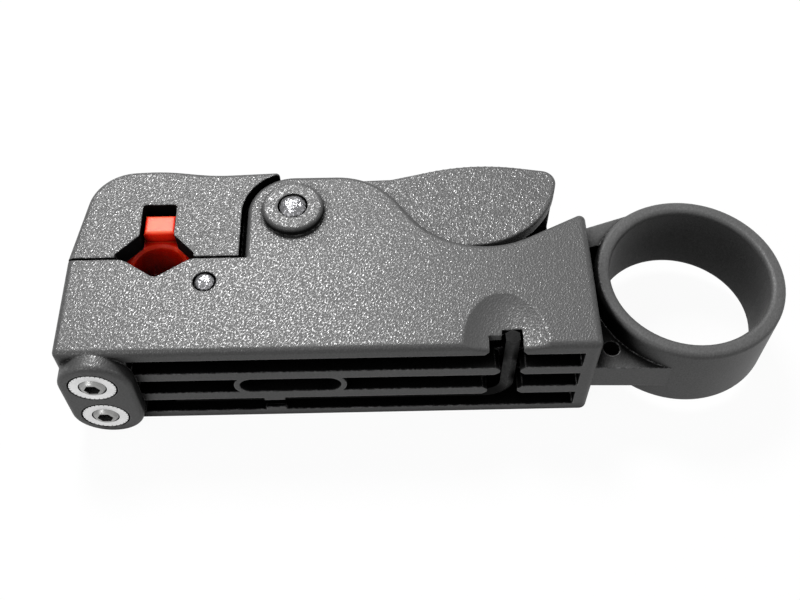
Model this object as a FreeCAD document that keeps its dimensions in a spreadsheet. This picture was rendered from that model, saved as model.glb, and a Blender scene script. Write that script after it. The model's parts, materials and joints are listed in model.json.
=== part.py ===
import FreeCAD, Part
import math
import os
import Sketcher
from types import SimpleNamespace

# A coaxial cable stripper lying on its far side. Sizes are in millimetres.
# X runs from the front face to the finger ring, Y from the ribbed underside
# to the thumb trigger, Z up from the side the tool rests on.

Vec = FreeCAD.Vector
doc = FreeCAD.newDocument("coax_stripper")

SIZES = [
    ("body_thick", 19.0, "body, side to side"),
    ("cheek", 2.2, "cheek thickness"),
    ("rib", 1.9, "rib thickness on the underside"),
    ("edge_round", 0.9, "rounding of the outer edges"),
    ("channel_depth", 6.0, "depth of the underside channels"),
    ("floor", 2.0, "floor between channels and cavity"),
    ("channel_wall", 1.4, "wall between the screw inserts and the channels"),
    ("end_wall", 2.3, "end wall thickness"),
    ("front_wall", 1.9, "wall in front of the blade chamber"),
    ("cross_wall", 2.0, "wall between blade chamber and cavity"),
    ("parting", 16.0, "height of the lower jaw"),
    ("parting_gap", 0.45, "gap between the closed jaws"),
    ("notch_place", 12.9, "cable notch from the front face"),
    ("notch_half", 4.9, "half width of the lower notch"),
    ("notch_depth", 3.35, "depth of the lower notch"),
    ("notch_round", 1.2, "rounding at the bottom of the notch"),
    ("notch_lip", 3.2, "rounding at the lips of the notch"),
    ("pivot_place", 32.55, "lever pivot from the front face"),
    ("pivot_height", 24.4, "lever pivot above the rib faces"),
    ("nose_radius", 6.9, "cheek nose around the pivot"),
    ("jaw_gap", 0.85, "gap between cheek nose and jaw"),
    ("shoulder_run", 12.25, "cheek shoulder behind the pivot"),
    ("shoulder_round", 11.0, "rounding of the cheek shoulder"),
    ("saddle_run", 11.85, "thumb saddle behind the shoulder"),
    ("saddle_height", 13.8, "height of that corner"),
    ("saddle_round", 13.5, "rounding of the thumb saddle"),
    ("tail_run", 19.55, "end face behind the saddle"),
    ("horn_height", 23.6, "top of the end horn"),
    ("horn_round", 0.9, "rounding of the horn tip"),
    ("pivot_boss_radius", 4.6, "raised boss around the pivot pin"),
    ("pivot_boss_height", 1.4, "height of that boss"),
    ("pin_radius", 2.1, "pivot pin radius"),
    ("run_gap", 0.05, "running clearance on pins"),
    ("seat_gap", 0.02, "clearance of seated pieces"),
    ("side_gap", 0.3, "clearance between moving sides"),
    ("pin_recess", 0.15, "recess gap around a pin head"),
    ("recess_depth", 0.9, "depth of the pin recesses"),
    ("dome_rise", 0.7, "rise of a domed pin head"),
    ("dome_sink", 0.2, "rim of a pin head below its recess mouth"),
    ("blade_pin_place", 20.2, "blade pin from the front face"),
    ("blade_pin_height", 11.9, "blade pin above the rib faces"),
    ("blade_pin_radius", 1.5, "blade pin radius"),
    ("ring_run", 14.8, "finger ring centre behind the end face"),
    ("ring_height", 13.5, "finger ring centre above the rib faces"),
    ("ring_outer", 14.0, "finger ring outer radius"),
    ("ring_inner", 11.7, "finger ring inner radius"),
    ("ring_wide", 13.0, "finger ring, side to side"),
    ("ring_round", 0.8, "rounding of the ring rims"),
    ("web_thick", 5.0, "web between body and ring"),
    ("strut_thick", 3.6, "strut along the top of the web"),
    ("strut_low", 22.3, "top of the strut at the end wall"),
    ("strut_high", 25.65, "top of the strut at the ring"),
    ("lanyard_run", 2.5, "lanyard hole behind the end face"),
    ("lanyard_height", 3.6, "lanyard hole above the rib faces"),
    ("lanyard_radius", 1.2, "lanyard hole radius"),
    ("screw_place", 4.9, "depth screws from the front face"),
    ("screw_spread", 8.3, "distance between the depth screws"),
    ("boss_place", 5.2, "front boss from the front face"),
    ("boss_half", 5.2, "half width of the front boss"),
    ("boss_proud", 2.2, "front boss above the rib faces"),
    ("boss_round", 0.7, "rounding of the front boss"),
    ("insert_radius", 3.25, "threaded insert radius"),
    ("insert_length", 6.2, "threaded insert length"),
    ("insert_gap", 0.25, "open gap around the insert rim"),
    ("tooth_depth", 0.28, "serrations of the insert"),
    ("screw_radius", 2.0, "depth screw radius"),
    ("screw_length", 8.0, "depth screw length"),
    ("screw_proud", 0.35, "depth screw above the insert"),
    ("socket_flats", 2.05, "hex socket across flats"),
    ("socket_depth", 2.2, "hex socket depth"),
    ("tip_radius", 1.5, "swivel tip radius"),
    ("tip_thick", 0.9, "swivel tip thickness"),
    ("tip_stem", 0.8, "swivel tip stem radius"),
    ("tip_stem_length", 1.6, "swivel tip stem length"),
    ("rivet_room", 0.86, "room between the rivet heads and the cheek"),
    ("arm_top", 12.3, "top of the blade arms under the notch"),
    ("arm_eye", 2.9, "radius of the blade arm eye"),
    ("blade_thick", 0.5, "blade thickness"),
    ("blade_tuck", 3.0, "blade below the top of its arm"),
    ("blade_edge", 14.3, "cutting edge above the rib faces"),
    ("blade_bevel", 0.22, "bevel of the cutting edge"),
    ("blade_half", 4.6, "half length of a blade"),
    ("rivet_radius", 0.6, "blade rivet radius"),
    ("rivet_head", 1.1, "blade rivet head radius"),
    ("rivet_rise", 0.35, "blade rivet head height"),
    ("rivet_spread", 5.2, "distance between the rivets of a blade"),
    ("rivet_inset", 1.6, "rivets below the top of the arm"),
    ("sleeve_radius", 2.5, "spacer sleeve radius"),
    ("lever_wall", 2.0, "side walls of the trigger"),
    ("lever_roof", 2.0, "roof of the trigger"),
    ("lever_rib", 1.4, "middle rib inside the trigger"),
    ("trigger_gap", 0.5, "trigger clear of the end wall"),
    ("trigger_run", 13.1, "middle of the trigger crown before its rear end"),
    ("crown_rise", 11.2, "corner of the trigger crown above the pivot"),
    ("trigger_round", 34.0, "rounding of the trigger crown"),
    ("trigger_reach", 26.1, "front end of the trigger crown before its rear end"),
    ("trigger_rise", 9.0, "rear end of the trigger above the pivot"),
    ("trigger_deep", 13.2, "depth of the trigger at its rear end"),
    ("trigger_heel", 2.85, "lean of the trigger's rear end"),
    ("trigger_belly", 14.0, "rounding under the trigger"),
    ("rib_back", 5.5, "middle rib before the trigger's rear end"),
    ("rib_drop", 1.5, "middle rib below the pivot"),
    ("rib_round", 9.0, "rounding of the middle rib"),
    ("grip_rise", 0.3, "ridges on the trigger crown"),
    ("grip_radius", 0.4, "radius of those ridges"),
    ("front_rise", 8.15, "front of the jaw above the pivot"),
    ("crest_rise", 8.65, "highest place of the jaw above the pivot"),
    ("waist_rise", 7.55, "lowest place behind the crest above the pivot"),
    ("tail_rise", 7.95, "rear tip of the jaw above the pivot"),
    ("jaw_lean", 2.45, "lean of the jaw's front"),
    ("jaw_round", 7.0, "rounding of the jaw's front"),
    ("jaw_sweep", 30.0, "sweep along the top of the jaw"),
    ("slot_half", 2.55, "half width of the side windows"),
    ("slot_top", 26.1, "top of the side windows"),
    ("slot_flare", 20.4, "height where the windows flare"),
    ("flare_half", 5.75, "half width of the windows at the parting"),
    ("guide_wide", 12.2, "cable guide body, end to end"),
    ("guide_lug", 2.2, "lugs beyond the guide body"),
    ("lug_round", 0.45, "rounding of the lug ends"),
    ("guide_half", 5.4, "half width of the cable guide"),
    ("guide_low", 16.7, "lower face of the cable guide"),
    ("guide_wall", 1.574, "wall between groove and guide shoulders"),
    ("guide_top", 25.0, "top of the cable guide"),
    ("groove_radius", 3.8, "cable groove radius"),
    ("groove_height", 17.0, "cable groove centre"),
    ("groove_edge", 0.4, "chamfer of the cable groove"),
    ("guide_gap", 0.08, "clearance around the cable guide"),
    ("key_flats", 2.0, "hex key across flats"),
    ("key_depth", 1.9, "key axis inside the rib faces"),
    ("key_run", 12.5, "short arm of the key before the end face"),
    ("key_long", 50.0, "long arm of the key"),
    ("key_short", 15.6, "short arm of the key"),
    ("key_bend", 3.0, "bend radius of the key"),
    ("key_gap", 0.3, "clearance around the key"),
    ("rib_flare", 0.8, "flare of the rib ends beside the key"),
    ("lip_start", 28.0, "front end of the key lips"),
    ("lip_length", 3.0, "length of the key lips"),
    ("lip_gap", 0.12, "clearance of the key between its lips"),
    ("dimple_half", 6.1, "half width of the nail dimple"),
    ("dimple_reach", 9.0, "reach of the nail dimple"),
    ("dimple_depth", 1.1, "depth of the nail dimple"),
    ("dimple_round", 0.5, "rounding of the dimple's rim"),
    ("oval_front", 24.8, "front end of the oval opening"),
    ("oval_length", 14.7, "length of the oval opening"),
    ("oval_wall", 0.8, "wall around the oval opening"),
    ("wire", 1.0, "spring wire"),
    ("coil_radius", 3.4, "spring coil radius"),
    ("coil_wide", 7.4, "spring coil, end to end"),
]


class Size:
    """A length with its value and the expression that gives it."""

    def __init__(self, value, text):
        self.value = value
        self.text = text

    def __add__(self, other):
        other = size(other)
        return Size(self.value + other.value, "(%s + %s)" % (self.text, other.text))

    def __sub__(self, other):
        other = size(other)
        return Size(self.value - other.value, "(%s - %s)" % (self.text, other.text))

    def __mul__(self, factor):
        return Size(self.value * factor, "(%s * %s)" % (self.text, factor))

    def __truediv__(self, factor):
        return Size(self.value / factor, "(%s / %s)" % (self.text, factor))

    def __neg__(self):
        return Size(-self.value, "(0 - %s)" % self.text)


def size(value):
    return value if isinstance(value, Size) else Size(float(value), repr(float(value)))


def make_sheet():
    sheet = doc.addObject("Spreadsheet::Sheet", "Dims")
    for row, (name, value, note) in enumerate(SIZES, start=1):
        sheet.set("A%d" % row, name)
        sheet.set("B%d" % row, str(value))
        sheet.setAlias("B%d" % row, name)
        sheet.set("C%d" % row, note)
    doc.recompute()
    cells = {}
    for name, value, note in SIZES:
        cells[name] = Size(float(sheet.get(name)), "Dims." + name)
    return SimpleNamespace(**cells)


d = make_sheet()

# Places shared by several pieces.
mid_z = d.body_thick / 2
shoulder_place = d.pivot_place + d.shoulder_run
saddle_place = shoulder_place + d.saddle_run
body_length = saddle_place + d.tail_run
ring_place = body_length + d.ring_run
lanyard_place = body_length + d.lanyard_run
key_corner = body_length - d.key_run
shift_x = (ring_place + d.ring_outer) / 2
channel = (d.body_thick - d.cheek * 2 - d.rib * 2) / 3
low_rib = d.cheek + channel
middle_channel = low_rib + d.rib
high_rib = middle_channel + channel
high_channel = high_rib + d.rib
cavity_floor = d.channel_depth + d.floor
channel_end = body_length - d.end_wall
trigger_end = channel_end - d.trigger_gap
trigger_start = trigger_end - d.trigger_reach
trigger_place = trigger_end - d.trigger_run
trigger_crown = d.pivot_height + d.crown_rise
trigger_end_height = d.pivot_height + d.trigger_rise
jaw_waist = d.pivot_height + d.waist_rise
jaw_tail = d.pivot_height + d.tail_rise
jaw_low = d.parting + d.parting_gap
nose_front = d.pivot_place - d.nose_radius
nose_top = d.pivot_height + d.nose_radius
core_low = d.cheek + d.side_gap
core_wide = d.body_thick - core_low * 2
key_z = d.cheek + channel / 2
screw_low_z = mid_z - d.screw_spread / 2
screw_high_z = mid_z + d.screw_spread / 2
blade_stack = d.blade_thick + d.seat_gap * 2 + d.rivet_rise
arm_half = screw_low_z - d.cheek - blade_stack - d.rivet_room
arm_thick = arm_half * 2
guide_shoulder = d.groove_height + (d.groove_radius + d.guide_wall) * math.sqrt(2) - d.guide_half
arm_rise = d.screw_place + d.tip_radius + 3
chamber_low = d.front_wall
chamber_step = d.screw_place + d.insert_radius + 0.3
chamber_end = nose_front - d.cross_wall
channel_start = chamber_step + d.channel_wall


def bind(target, prop, value):
    target.setExpression(prop, size(value).text)


def place(target, x, y, z, turn=None):
    spot = Vec(size(x - shift_x).value, size(y - shift_y).value, size(z).value)
    target.Placement = FreeCAD.Placement(spot, turn or FreeCAD.Rotation())
    bind(target, "Placement.Base.x", x - shift_x)
    bind(target, "Placement.Base.y", y - shift_y)
    bind(target, "Placement.Base.z", z)


def new_body(label):
    body = doc.addObject("PartDesign::Body", label)
    body.Label = label
    return body


def new_sketch(body, name, role="XY_Plane", lift=None):
    sketch = body.newObject("Sketcher::SketchObject", name)
    for feature in body.Origin.OriginFeatures:
        if feature.Role == role:
            sketch.AttachmentSupport = [(feature, "")]
    sketch.MapMode = "FlatFace"
    if lift is not None:
        lift = size(lift)
        sketch.AttachmentOffset = FreeCAD.Placement(Vec(0, 0, lift.value), FreeCAD.Rotation())
        bind(sketch, "AttachmentOffset.Base.z", lift)
    return sketch


def fix(sketch, constraint, value):
    index = sketch.addConstraint(constraint)
    sketch.setExpression("Constraints[%d]" % index, value.text)


def pin_point(sketch, item, end, x, y):
    """Hold one point of the sketch at x, y."""
    if x.value == 0:
        sketch.addConstraint(Sketcher.Constraint("PointOnObject", item, end, -2))
    else:
        fix(sketch, Sketcher.Constraint("DistanceX", -1, 1, item, end, x.value), x)
    if y.value == 0:
        sketch.addConstraint(Sketcher.Constraint("PointOnObject", item, end, -1))
    else:
        fix(sketch, Sketcher.Constraint("DistanceY", -1, 1, item, end, y.value), y)


def circle(sketch, x, y, radius):
    x, y, radius = size(x), size(y), size(radius)
    ring = Part.Circle(Vec(x.value, y.value, 0), Vec(0, 0, 1), radius.value)
    item = sketch.addGeometry(ring, False)
    pin_point(sketch, item, 3, x, y)
    fix(sketch, Sketcher.Constraint("Radius", item, radius.value), radius)


class Corner:
    """A corner of an outline, with the arc that rounds it."""

    def __init__(self, x, y, radius=None):
        self.x = size(x)
        self.y = size(y)
        self.radius = None if radius is None else size(radius)
        self.point = Vec(self.x.value, self.y.value, 0)
        self.start = self.point
        self.end = self.point

    def round_off(self, before, after):
        if self.radius is None:
            return
        back = (before.point - self.point).normalize()
        ahead = (after.point - self.point).normalize()
        half = back.getAngle(ahead) / 2
        reach = self.radius.value / math.tan(half)
        self.start = self.point + back * reach
        self.end = self.point + ahead * reach
        middle = (back + ahead).normalize()
        self.centre = self.point + middle * (self.radius.value / math.sin(half))
        self.left_turn = back.cross(ahead).z < 0

    def arc(self):
        first, last = (self.start, self.end) if self.left_turn else (self.end, self.start)
        begin = math.atan2(first.y - self.centre.y, first.x - self.centre.x)
        finish = math.atan2(last.y - self.centre.y, last.x - self.centre.x)
        ring = Part.Circle(self.centre, Vec(0, 0, 1), self.radius.value)
        return Part.ArcOfCircle(ring, begin, finish)


def outline(sketch, corners):
    """A closed outline of straight lines, rounded where a corner has a radius."""
    corners = [Corner(*corner) for corner in corners]
    count = len(corners)
    for index, corner in enumerate(corners):
        corner.round_off(corners[index - 1], corners[(index + 1) % count])
    lines = []
    for index, corner in enumerate(corners):
        after = corners[(index + 1) % count]
        lines.append(sketch.addGeometry(Part.LineSegment(corner.end, after.start), False))
    for index, corner in enumerate(corners):
        before, after = lines[index - 1], lines[index]
        if corner.radius is None:
            sketch.addConstraint(Sketcher.Constraint("Coincident", before, 2, after, 1))
            pin_point(sketch, after, 1, corner.x, corner.y)
            continue
        arc = sketch.addGeometry(corner.arc(), False)
        near, far = (1, 2) if corner.left_turn else (2, 1)
        sketch.addConstraint(Sketcher.Constraint("Tangent", before, 2, arc, near))
        sketch.addConstraint(Sketcher.Constraint("Tangent", arc, far, after, 1))
        fix(sketch, Sketcher.Constraint("Radius", arc, corner.radius.value), corner.radius)
        mark = sketch.addGeometry(Part.Point(corner.point), True)
        sketch.addConstraint(Sketcher.Constraint("PointOnObject", mark, 1, before))
        sketch.addConstraint(Sketcher.Constraint("PointOnObject", mark, 1, after))
        pin_point(sketch, mark, 1, corner.x, corner.y)


def box(sketch, x0, y0, x1, y1, radius=None):
    outline(sketch, [(x0, y0, radius), (x1, y0, radius), (x1, y1, radius), (x0, y1, radius)])


def oval(sketch, x0, y0, x1, y1, radius):
    """A slot with round ends between two centres on one line."""
    ends = [(size(x0), size(y0)), (size(x1), size(y1))]
    radius = size(radius)
    first = Vec(ends[0][0].value, ends[0][1].value, 0)
    last = Vec(ends[1][0].value, ends[1][1].value, 0)
    along = math.atan2(last.y - first.y, last.x - first.x)
    side = Vec(-math.sin(along), math.cos(along), 0) * radius.value
    quarter = math.pi / 2
    cap = Part.Circle(first, Vec(0, 0, 1), radius.value)
    head = sketch.addGeometry(Part.ArcOfCircle(cap, along + quarter, along + 3 * quarter), False)
    cap = Part.Circle(last, Vec(0, 0, 1), radius.value)
    tail = sketch.addGeometry(Part.ArcOfCircle(cap, along - quarter, along + quarter), False)
    right = sketch.addGeometry(Part.LineSegment(first - side, last - side), False)
    left = sketch.addGeometry(Part.LineSegment(last + side, first + side), False)
    sketch.addConstraint(Sketcher.Constraint("Tangent", head, 2, right, 1))
    sketch.addConstraint(Sketcher.Constraint("Tangent", right, 2, tail, 1))
    sketch.addConstraint(Sketcher.Constraint("Tangent", tail, 2, left, 1))
    sketch.addConstraint(Sketcher.Constraint("Tangent", left, 2, head, 1))
    pin_point(sketch, head, 3, *ends[0])
    pin_point(sketch, tail, 3, *ends[1])
    fix(sketch, Sketcher.Constraint("Radius", head, radius.value), radius)


def extrude(body, kind, name, sketch, length, reverse=False):
    feature = body.newObject("PartDesign::" + kind, name)
    feature.Profile = sketch
    feature.Reversed = reverse
    feature.Length = size(length).value
    bind(feature, "Length", length)
    sketch.Visibility = False
    return feature


def pad(body, name, sketch, length, reverse=False):
    return extrude(body, "Pad", name, sketch, length, reverse)


def pocket(body, name, sketch, length, reverse=False):
    return extrude(body, "Pocket", name, sketch, length, reverse)


def pick_edges(feature, wanted):
    doc.recompute()
    edges = feature.Shape.Edges
    return ["Edge%d" % (number + 1) for number, edge in enumerate(edges) if wanted(edge)]


def soften(body, name, feature, wanted, radius):
    names = pick_edges(feature, wanted)
    blend = body.newObject("PartDesign::Fillet", name)
    blend.Base = (feature, names)
    blend.Radius = size(radius).value
    bind(blend, "Radius", radius)
    return blend


def bevel(body, name, feature, wanted, amount):
    names = pick_edges(feature, wanted)
    cut = body.newObject("PartDesign::Chamfer", name)
    cut.Base = (feature, names)
    cut.Size = size(amount).value
    bind(cut, "Size", amount)
    return cut


def turned(label, corners):
    """A piece turned about its own Z axis from half an outline of (radius, height)."""
    body = new_body(label)
    sketch = new_sketch(body, label + "_profile", "XZ_Plane")
    outline(sketch, corners)
    revolve = body.newObject("PartDesign::Revolution", label + "_turned")
    revolve.Profile = sketch
    revolve.ReferenceAxis = (sketch, ["V_Axis"])
    revolve.Angle = 360
    sketch.Visibility = False
    return body


def level(edge, height, slack=0.01):
    box_of = edge.BoundBox
    return abs(box_of.ZMin - height) < slack and abs(box_of.ZMax - height) < slack


def round_at(edge, x, y, radius):
    if edge.Degenerated or not isinstance(edge.Curve, Part.Circle):
        return False
    curve = edge.Curve
    near = math.hypot(curve.Center.x - x.value, curve.Center.y - y.value) < 0.01
    return near and abs(curve.Radius - radius.value) < 0.01


trigger_corners = [
    (d.blade_pin_place, jaw_low + 0.15),
    (d.pivot_place + 3, jaw_low + 0.35, 12.0),
    (trigger_end - d.trigger_heel, trigger_end_height - d.trigger_deep, d.trigger_belly),
    (trigger_end, trigger_end_height, 2.3),
    (trigger_place, trigger_crown, d.trigger_round),
    (trigger_start, jaw_tail + 0.15, 2.0),
    (d.blade_pin_place, jaw_waist - 0.3),
]
crown = Corner(*trigger_corners[4])
crown.round_off(Corner(*trigger_corners[3]), Corner(*trigger_corners[5]))
crown_drop = trigger_crown.value - crown.centre.y - d.trigger_round.value
part_top = trigger_crown - crown_drop + d.grip_rise
shift_y = (part_top - d.boss_proud - d.screw_proud) / 2


def body_outline(sketch):
    notch_low = d.parting - d.notch_depth
    outline(sketch, [
        (0, 0, 1.0),
        (body_length, 0, 1.0),
        (body_length, d.horn_height, d.horn_round),
        (saddle_place, d.saddle_height, d.saddle_round),
        (shoulder_place, nose_top, d.shoulder_round),
        (nose_front, nose_top, d.nose_radius),
        (nose_front, d.parting),
        (d.notch_place + d.notch_half, d.parting, d.notch_lip),
        (d.notch_place, notch_low, d.notch_round),
        (d.notch_place - d.notch_half, d.parting, d.notch_lip),
        (0, d.parting),
    ])


def body_ring(body):
    web_low = mid_z - d.web_thick / 2
    sketch = new_sketch(body, "web_profile", lift=web_low)
    inside = channel_end + 0.2
    joint = ring_place - d.ring_outer / 2
    outline(sketch, [
        (inside, 0.4),
        (ring_place, d.ring_height - d.ring_outer + 0.5),
        (joint, d.strut_high - 1),
        (inside, d.strut_low - 1),
    ])
    pad(body, "web", sketch, d.web_thick)
    ring_low = mid_z - d.ring_wide / 2
    inset = d.ring_round + 0.2
    sketch = new_sketch(body, "strut_profile", lift=ring_low + inset)
    outline(sketch, [
        (inside, d.strut_low - d.strut_thick),
        (joint + 1, d.strut_high - d.strut_thick),
        (joint, d.strut_high),
        (inside, d.strut_low),
    ])
    pad(body, "strut", sketch, d.ring_wide - inset * 2)
    sketch = new_sketch(body, "ring_profile", lift=ring_low)
    circle(sketch, ring_place, d.ring_height, d.ring_outer)
    pad(body, "ring", sketch, d.ring_wide)
    sketch = new_sketch(body, "ring_bore_profile", lift=ring_low + d.ring_wide)
    circle(sketch, ring_place, d.ring_height, d.ring_inner)
    bore = pocket(body, "ring_bore", sketch, d.ring_wide)

    def rim(edge):
        outer = round_at(edge, ring_place, d.ring_height, d.ring_outer)
        inner = round_at(edge, ring_place, d.ring_height, d.ring_inner)
        low = level(edge, ring_low.value)
        return (outer or inner) and (low or level(edge, (ring_low + d.ring_wide).value))

    soften(body, "ring_rims", bore, rim, d.ring_round)
    sketch = new_sketch(body, "lanyard_profile", lift=web_low + d.web_thick)
    circle(sketch, lanyard_place, d.lanyard_height, d.lanyard_radius)
    pocket(body, "lanyard_hole", sketch, d.web_thick)


def body_boss(body):
    """The front boss that carries the depth screws."""
    sketch = new_sketch(body, "boss_profile", "XZ_Plane", lift=-size(1.5))
    oval(sketch, d.boss_place, d.boss_half + 0.3, d.boss_place, d.body_thick - d.boss_half - 0.3,
         d.boss_half)
    boss = pad(body, "boss", sketch, d.boss_proud + 1.5)

    def face_edge(edge):
        return abs(edge.BoundBox.YMax + d.boss_proud.value) < 0.01

    soften(body, "boss_edge", boss, face_edge, d.boss_round)
    sketch = new_sketch(body, "pivot_boss_profile", lift=d.body_thick - 0.5)
    circle(sketch, d.pivot_place, d.pivot_height, d.pivot_boss_radius)
    raised = pad(body, "pivot_boss", sketch, d.pivot_boss_height + 0.5)
    top = (d.body_thick + d.pivot_boss_height).value
    soften(body, "pivot_boss_edge", raised, lambda edge: level(edge, top), 0.6)


def body_hollows(body):
    """The trigger cavity, the blade chamber and the underside channels."""
    inner_top = d.body_thick - d.cheek
    inner_wide = d.body_thick - d.cheek * 2
    above = nose_top + d.nose_radius
    sketch = new_sketch(body, "cavity_profile", lift=inner_top)
    box(sketch, nose_front, cavity_floor, channel_end, above)
    pocket(body, "cavity", sketch, inner_wide)
    sketch = new_sketch(body, "chamber_profile", lift=inner_top)
    low = d.insert_length - d.boss_proud + 0.5
    outline(sketch, [
        (chamber_low, low),
        (chamber_step, low),
        (arm_rise + d.side_gap, cavity_floor),
        (chamber_end, cavity_floor),
        (chamber_end, above),
        (chamber_low, above),
    ])
    pocket(body, "chamber", sketch, inner_wide)
    sketch = new_sketch(body, "channel_profile", "XZ_Plane")
    box(sketch, channel_start, d.cheek, channel_end, low_rib)
    box(sketch, channel_start, middle_channel, channel_end, high_rib)
    box(sketch, channel_start, high_channel, channel_end, high_channel + channel)
    pocket(body, "channels", sketch, d.channel_depth)
    oval_radius = channel / 2
    first = d.oval_front + oval_radius
    last = d.oval_front + d.oval_length - oval_radius
    sketch = new_sketch(body, "oval_wall_profile", "XZ_Plane")
    oval(sketch, first, mid_z, last, mid_z, oval_radius + d.oval_wall)
    pad(body, "oval_wall", sketch, d.channel_depth + 0.5, reverse=True)
    sketch = new_sketch(body, "oval_profile", "XZ_Plane")
    oval(sketch, first, mid_z, last, mid_z, oval_radius)
    pocket(body, "oval_opening", sketch, cavity_floor + 0.5)


def rib_gap(sketch, left, right, low):
    """A gap through one rib, with the rib's ends rounded towards both channels."""
    high = low + d.rib
    waist = d.rib / 3
    outline(sketch, [
        (left - d.rib_flare, low - 0.1),
        (right + d.rib_flare, low - 0.1),
        (right, low + waist, d.rib_flare / 2),
        (right, high - waist, d.rib_flare / 2),
        (right + d.rib_flare, high + 0.1),
        (left - d.rib_flare, high + 0.1),
        (left, high - waist, d.rib_flare / 2),
        (left, low + waist, d.rib_flare / 2),
    ])


def body_dimple(body):
    """The soft-edged hollow for a fingernail above the key's end."""
    dimple = body.newObject("PartDesign::SubtractiveEllipsoid", "nail_dimple")
    rise = d.dimple_depth * 2
    stretch = 1.342
    dimple.Angle1 = -90
    dimple.Angle2 = 90
    dimple.Angle3 = 360
    bind(dimple, "Radius1", rise + d.dimple_depth)
    bind(dimple, "Radius2", d.dimple_half * stretch)
    bind(dimple, "Radius3", d.dimple_reach * stretch)
    spot = Vec(key_corner.value - 1, 0, (d.body_thick + rise).value)
    dimple.Placement = FreeCAD.Placement(spot, FreeCAD.Rotation())
    bind(dimple, "Placement.Base.x", key_corner - 1)
    bind(dimple, "Placement.Base.z", d.body_thick + rise)

    def rim(edge):
        if edge.Degenerated or not level(edge, d.body_thick.value):
            return False
        return not isinstance(edge.Curve, (Part.Line, Part.Circle))

    soften(body, "dimple_rim", dimple, rim, d.dimple_round)


def body_key_seat(body):
    """Lips, rib cuts and cheek notch for the stored key."""
    slit = d.key_flats / 2 + d.lip_gap
    lip_end = d.lip_start + d.lip_length
    sketch = new_sketch(body, "lip_profile", "XZ_Plane")
    box(sketch, d.lip_start, d.cheek - 0.4, lip_end, key_z - slit)
    box(sketch, d.lip_start, key_z + slit, lip_end, low_rib + 0.4)
    depth = d.key_depth - d.key_flats * 0.58 - 0.1
    pad(body, "lips", sketch, depth, reverse=True)
    half = d.key_flats * 0.58 + d.key_gap
    left = key_corner - half
    right = key_corner + half
    reach = d.key_depth + half
    sketch = new_sketch(body, "rib_cut_profile", "XZ_Plane")
    rib_gap(sketch, left, right, high_rib)
    rib_gap(sketch, left - d.key_bend / 2, right, low_rib)
    inside = high_channel + channel
    outline(sketch, [
        (left, inside - 0.3),
        (right + d.rib_flare, inside - 0.3),
        (right, inside + d.rib_flare),
        (right, d.body_thick + 1),
        (left, d.body_thick + 1),
    ])
    pocket(body, "rib_cuts", sketch, reach)
    sketch = new_sketch(body, "nail_notch_profile", "XZ_Plane")
    nail = left - 1.9
    outline(sketch, [
        (nail - d.rib_flare, inside - 0.3),
        (left + 0.3, inside - 0.3),
        (left + 0.3, d.body_thick + 1),
        (nail, d.body_thick + 1),
        (nail, inside + d.rib_flare),
    ])
    pocket(body, "nail_notch", sketch, reach - 0.9)


def body_holes(body):
    top = d.body_thick + d.pivot_boss_height
    sketch = new_sketch(body, "pivot_bore_profile", lift=top)
    circle(sketch, d.pivot_place, d.pivot_height, d.pin_radius + d.seat_gap)
    pocket(body, "pivot_bore", sketch, top)
    sketch = new_sketch(body, "pivot_recess_profile", lift=top)
    circle(sketch, d.pivot_place, d.pivot_height, d.pin_radius + d.pin_recess)
    pocket(body, "pivot_recess", sketch, d.recess_depth)
    sketch = new_sketch(body, "pivot_tail_profile", lift=d.recess_depth)
    circle(sketch, d.pivot_place, d.pivot_height, d.pin_radius + d.pin_recess)
    pocket(body, "pivot_tail_recess", sketch, d.recess_depth)
    sketch = new_sketch(body, "blade_bore_profile", lift=d.body_thick)
    circle(sketch, d.blade_pin_place, d.blade_pin_height, d.blade_pin_radius + d.seat_gap)
    pocket(body, "blade_bore", sketch, d.body_thick)
    for name, height in (("blade_recess", d.body_thick), ("blade_tail_recess", d.recess_depth)):
        sketch = new_sketch(body, name + "_profile", lift=height)
        wide = d.blade_pin_radius + d.pin_recess * 1.5
        circle(sketch, d.blade_pin_place, d.blade_pin_height, wide)
        pocket(body, name, sketch, d.recess_depth)
    sketch = new_sketch(body, "insert_bore_profile", "XZ_Plane", lift=d.boss_proud)
    circle(sketch, d.screw_place, screw_low_z, d.insert_radius + d.seat_gap)
    circle(sketch, d.screw_place, screw_high_z, d.insert_radius + d.seat_gap)
    pocket(body, "insert_bores", sketch, d.insert_length + 1)
    sketch = new_sketch(body, "insert_rim_profile", "XZ_Plane", lift=d.boss_proud)
    circle(sketch, d.screw_place, screw_low_z, d.insert_radius + d.insert_gap)
    circle(sketch, d.screw_place, screw_high_z, d.insert_radius + d.insert_gap)
    pocket(body, "insert_rims", sketch, d.recess_depth)


def make_body():
    body = new_body("body")
    sketch = new_sketch(body, "side_profile")
    body_outline(sketch)
    block = pad(body, "block", sketch, d.body_thick)

    def outer_edge(edge):
        if not (level(edge, 0) or level(edge, d.body_thick.value)):
            return False
        centre = edge.BoundBox.Center
        jaw = centre.x < nose_front.value - 0.1 and centre.y > d.parting.value - d.notch_depth.value
        return not jaw

    soften(body, "side_edges", block, outer_edge, d.edge_round)
    body_ring(body)
    body_boss(body)
    body_hollows(body)
    body_dimple(body)
    body_key_seat(body)
    body_holes(body)
    place(body, size(0), size(0), size(0))
    return body


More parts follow.
